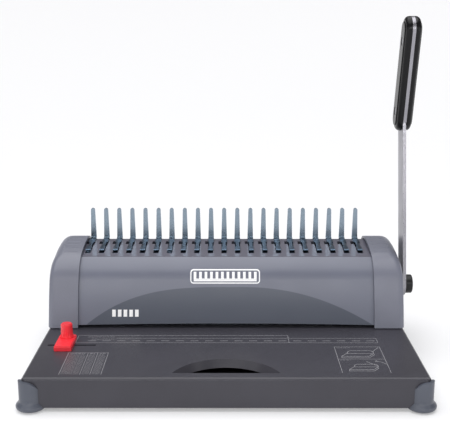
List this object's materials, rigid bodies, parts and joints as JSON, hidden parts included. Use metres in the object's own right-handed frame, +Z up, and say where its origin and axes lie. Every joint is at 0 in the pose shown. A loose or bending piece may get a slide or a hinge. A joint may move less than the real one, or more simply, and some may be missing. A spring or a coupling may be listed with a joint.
{
  "type": "comb binding machine",
  "caption": "Desktop comb binding machine: tray base with corner feet, hood with punch and comb opener, bent hand lever at the right, sliding edge guide and chip drawer.",
  "frame": {"origin": "middle of the whole machine's footprint, on the table", "axes": "+X to the right of the person who uses it, +Y to the back, +Z up"},
  "size_m": [0.3818, 0.251, 0.3404],
  "materials": {
    "tray_plastic": "satin",
    "hood_enamel": "satin",
    "deck_enamel": "gloss",
    "cap_plastic": "satin",
    "foot_plastic": "satin",
    "pad_rubber": "matte",
    "black_sheet": "matte",
    "drawer_plastic": "matte",
    "zinc_screws": "satin",
    "frame_steel": "satin",
    "tool_steel": "satin",
    "gear_steel": "satin",
    "bronze": "satin",
    "nylon": "satin",
    "tooth_steel": "gloss",
    "hook_steel": "satin",
    "spring_steel": "gloss",
    "lever_steel": "satin",
    "grip_plastic": "gloss",
    "knob_plastic": "satin",
    "red_plastic": "gloss"
  },
  "bodies": {
    "body": {"base_tray": "tray_plastic", "bottom_plate": "black_sheet", "foot_front_left": "foot_plastic", "foot_front_right": "foot_plastic", "foot_rear_left": "foot_plastic", "foot_rear_right": "foot_plastic", "foot_pads": "pad_rubber", "foot_screws": "zinc_screws", "front_cover": "hood_enamel", "deck_plate": "deck_enamel", "rear_cover": "hood_enamel", "end_cap_left": "cap_plastic", "end_cap_right": "cap_plastic", "side_frame_left": "frame_steel", "side_frame_right": "frame_steel", "die_plate": "tool_steel", "punch_guide": "tool_steel", "guide_spacers": "frame_steel", "paper_stop": "frame_steel", "comb_rack": "tooth_steel", "rack_beam": "frame_steel", "tie_rod": "frame_steel", "cover_brackets": "frame_steel", "shaft_bushes": "bronze", "guide_posts": "tool_steel", "opener_rails": "nylon", "drawer_rails": "nylon", "frame_screws": "zinc_screws", "cap_screws": "zinc_screws", "rack_screws": "zinc_screws", "cover_screws": "zinc_screws", "return_spring_left": "spring_steel", "return_spring_right": "spring_steel"},
    "lever": {"lever_bar": "lever_steel", "grip_inner": "grip_plastic", "grip_outer": "grip_plastic", "grip_rivets": "lever_steel", "lever_shaft": "lever_steel", "pinion_left": "gear_steel", "pinion_right": "gear_steel", "lever_washer": "lever_steel", "lever_knob": "knob_plastic", "shaft_rings": "frame_steel"},
    "punch": {"punch_bar": "tool_steel", "punch_pins": "tool_steel", "punch_rack_left": "gear_steel", "punch_rack_right": "gear_steel"},
    "opener": {"opener_plate": "hook_steel", "opener_rack_left": "gear_steel", "opener_rack_right": "gear_steel"},
    "edge_guide": {"edge_guide": "red_plastic", "edge_guide_key": "black_sheet"},
    "edge_knob": {"edge_guide_knob": "red_plastic"},
    "drawer": {"chip_drawer": "drawer_plastic"}
  },
  "joints": [
    {"name": "lever_swing", "type": "hinge", "parent": "body", "child": "lever", "pos_m": [0, 0.046, 0.066], "axis": [1, 0, 0], "range_deg": [0, 80]},
    {"name": "punch_stroke", "type": "slide", "parent": "body", "child": "punch", "axis": [0, 0, -1], "range_m": [0, 0.01048], "stiffness_N_per_m": 4000, "springref_m": -0.02, "deforming": ["return_spring_left", "return_spring_right"]},
    {"name": "opener_slide", "type": "slide", "parent": "body", "child": "opener", "axis": [0, -1, 0], "range_m": [0, 0.01048]},
    {"name": "edge_guide_slide", "type": "slide", "parent": "body", "child": "edge_guide", "axis": [1, 0, 0], "range_m": [-0.011, 0.023]},
    {"name": "edge_knob_turn", "type": "hinge", "parent": "edge_guide", "child": "edge_knob", "pos_m": [-0.1585, -0.0324, 0.035], "axis": [0, 0, 1], "range_deg": [0, 90]},
    {"name": "drawer_slide", "type": "slide", "parent": "body", "child": "drawer", "axis": [-1, 0, 0], "range_m": [0, 0.28]}
  ],
  "couplings": [
    {"joint": "punch_stroke", "follows": "lever_swing", "m_per_rad": 0.0075},
    {"joint": "opener_slide", "follows": "lever_swing", "m_per_rad": 0.0075}
  ]
}
